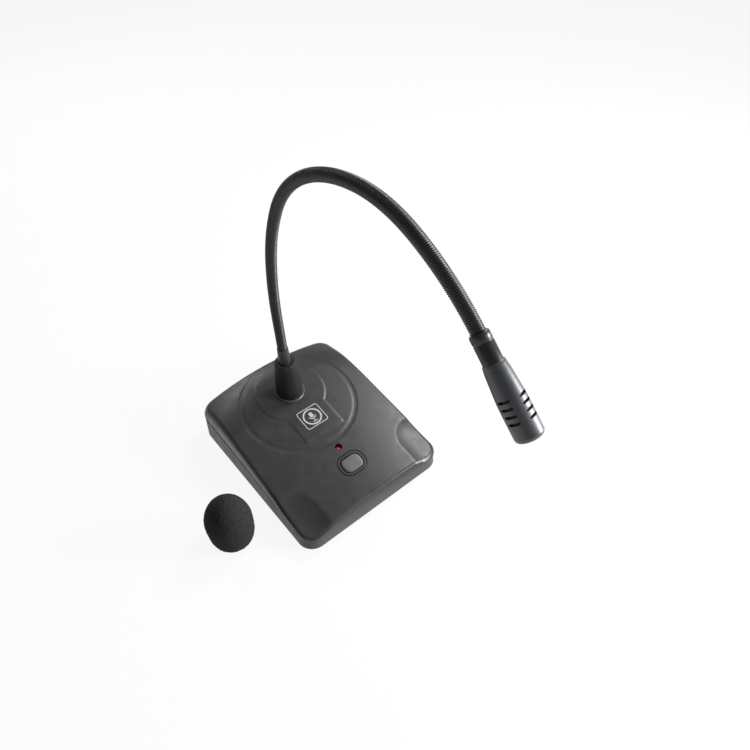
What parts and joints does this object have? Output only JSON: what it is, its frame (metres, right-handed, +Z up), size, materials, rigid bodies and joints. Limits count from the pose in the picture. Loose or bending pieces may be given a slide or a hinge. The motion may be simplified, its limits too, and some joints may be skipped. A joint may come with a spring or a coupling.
{
  "type": "paging microphone",
  "caption": "Desk paging microphone: sloped base with a talk button and status lamp, bendable ribbed neck with slotted head, and a loose foam windscreen.",
  "frame": {"origin": "on the desk, under the middle of the base", "axes": "+Z up, -Y towards the talker (front of the base), +X to the right seen from the front"},
  "size_m": [0.1729, 0.263, 0.2603],
  "materials": {
    "cover": "fine matt charcoal",
    "tub": "fine matt charcoal",
    "steel": "plated",
    "rubber": "matt",
    "board": "solder mask",
    "button": "satin grey",
    "black_plastic": "matt",
    "lamp": "tinted clear dome",
    "boot": "satin black",
    "collar": "satin",
    "ferrule": "satin black",
    "neck": "semi-gloss black",
    "head": "satin graphite",
    "capsule": "satin",
    "foam": "open-cell foam"
  },
  "bodies": {
    "base": {"top_cover": "cover", "bottom_tub": "tub", "cover_screws": "steel", "rubber_feet": "rubber", "ballast_plate": "steel", "ballast_screws": "steel", "circuit_board": "board", "board_screws": "steel", "return_spring": "steel", "switch_body": "black_plastic", "status_lamp": "lamp", "neck_boot": "boot", "boot_collar": "collar", "lower_ferrule": "ferrule", "neck_nut": "steel", "neck_stretch_1": "neck", "output_socket": "black_plastic", "socket_nut": "steel"},
    "button": {"talk_button": "button"},
    "neck_2": {"neck_stretch_2": "neck"},
    "neck_3": {"neck_stretch_3": "neck"},
    "neck_4": {"neck_stretch_4": "neck"},
    "neck_5": {"neck_stretch_5": "neck"},
    "neck_6": {"neck_stretch_6": "neck"},
    "neck_7": {"neck_stretch_7": "neck", "upper_ferrule": "ferrule", "head_body": "head", "mic_capsule": "capsule", "capsule_seal": "rubber", "head_grille": "black_plastic"},
    "windscreen": {"foam_windscreen": "foam"}
  },
  "joints": [
    {"name": "talk_press", "type": "slide", "parent": "base", "child": "button", "axis": [0, 0.1668, -0.986], "range_m": [0, 0.002], "stiffness_N_per_m": 400, "springref_m": -0.0015, "deforming": ["return_spring"]},
    {"name": "neck_side_1", "type": "hinge", "parent": "base", "child": "neck_2", "pos_m": [0, 0.033, 0.112], "axis": [0, 1, 0], "range_deg": [-20, 20]},
    {"name": "neck_bend_2", "type": "hinge", "parent": "neck_2", "child": "neck_3", "pos_m": [0, 0.02757, 0.16362], "axis": [1, 0, 0], "range_deg": [-12, 12]},
    {"name": "neck_bend_3", "type": "hinge", "parent": "neck_3", "child": "neck_4", "pos_m": [0, 0.01083, 0.20842], "axis": [1, 0, 0], "range_deg": [-15, 12]},
    {"name": "neck_bend_4", "type": "hinge", "parent": "neck_4", "child": "neck_5", "pos_m": [0, -0.0205, 0.24143], "axis": [1, 0, 0], "range_deg": [-15, 12]},
    {"name": "neck_side_5", "type": "hinge", "parent": "neck_5", "child": "neck_6", "pos_m": [0, -0.0656, 0.25652], "axis": [0, 0.0872, 0.9962], "range_deg": [-20, 20]},
    {"name": "neck_bend_6", "type": "hinge", "parent": "neck_6", "child": "neck_7", "pos_m": [0, -0.10463, 0.24999], "axis": [1, 0, 0], "range_deg": [-20, 15]},
    {"name": "windscreen_lift", "type": "slide", "parent": "base", "child": "windscreen", "axis": [0, 0, 1], "range_m": [0, 0.06]}
  ]
}
